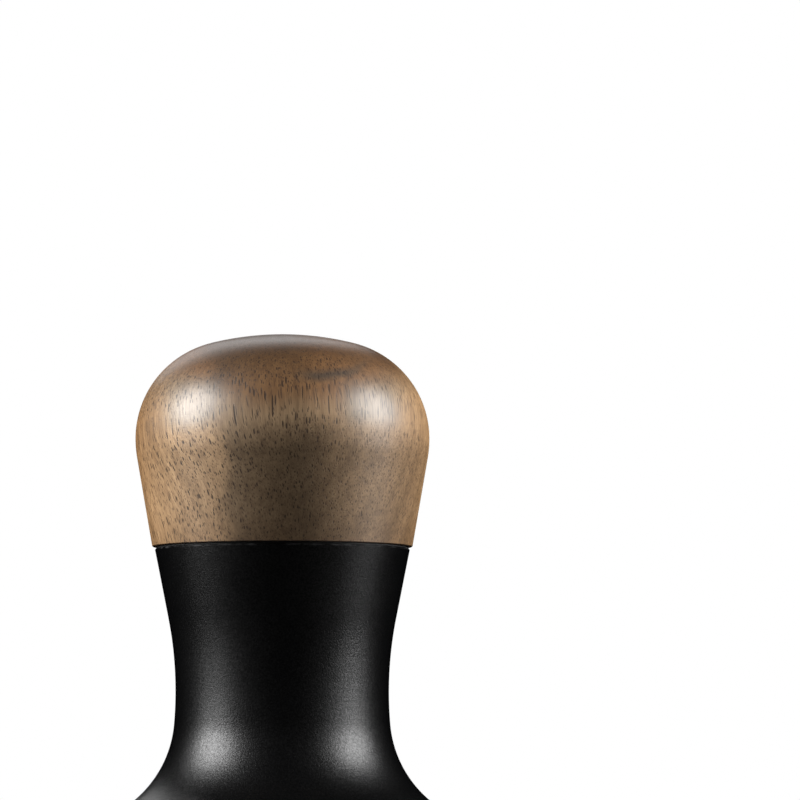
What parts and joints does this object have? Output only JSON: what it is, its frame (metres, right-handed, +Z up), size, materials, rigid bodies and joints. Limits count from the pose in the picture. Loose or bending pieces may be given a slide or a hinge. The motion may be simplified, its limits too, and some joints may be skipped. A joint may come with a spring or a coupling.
{
  "type": "espresso tamper",
  "caption": "Spring-loaded self-levelling espresso tamper with a domed walnut knob, a black bell-shaped body, a levelling ring and a flat stainless steel base.",
  "frame": {"origin": "centre of the tamping face, which the tamper stands on", "axes": "+Z up along the tamper's axis, from the tamping face to the top of the knob; +Y towards the first shoulder screw"},
  "size_m": [0.069, 0.069, 0.0937],
  "materials": {
    "steel_polished": "satin turned stainless steel",
    "steel_zinc": "zinc plated steel",
    "shaft_steel": "ground and polished shaft steel",
    "spring_steel": "oiled spring steel",
    "black_anodised": "bead-blasted black anodised aluminium",
    "bare_aluminium": "turned aluminium",
    "bearing_bronze": "sintered bronze",
    "guide_plastic": "acetal",
    "rubber": "nitrile rubber",
    "joint_black": "thin black washer",
    "walnut": "oiled walnut, satin"
  },
  "bodies": {
    "base": {"tamper_base": "steel_polished", "base_lock_washer": "steel_zinc", "plunger_shaft": "shaft_steel", "piston_ring": "guide_plastic", "lower_spring_seat": "steel_zinc", "main_spring": "spring_steel"},
    "handle": {"handle_body": "black_anodised", "shaft_bush_lower": "bearing_bronze", "shaft_bush_upper": "bearing_bronze", "stop_bumper": "rubber", "joint_washer": "joint_black", "knob_insert": "bare_aluminium", "upper_spring_seat": "steel_zinc", "knob_screws": "steel_zinc", "wood_knob": "walnut", "leveller_screws": "steel_zinc", "leveller_spring_1": "spring_steel", "leveller_spring_2": "spring_steel", "leveller_spring_3": "spring_steel"},
    "leveller": {"leveller_ring": "black_anodised", "leveller_bush_1": "guide_plastic", "leveller_bush_2": "guide_plastic", "leveller_bush_3": "guide_plastic"}
  },
  "joints": [
    {"name": "handle_press", "type": "slide", "parent": "base", "child": "handle", "axis": [0, 0, -1], "range_m": [0, 0.004], "stiffness_N_per_m": 8400, "springref_m": -0.0093, "deforming": ["main_spring"]},
    {"name": "leveller_slide", "type": "slide", "parent": "handle", "child": "leveller", "axis": [0, 0, 1], "range_m": [0, 0.006], "stiffness_N_per_m": 2400, "springref_m": -0.0025, "deforming": ["leveller_spring_1", "leveller_spring_2", "leveller_spring_3"]}
  ]
}
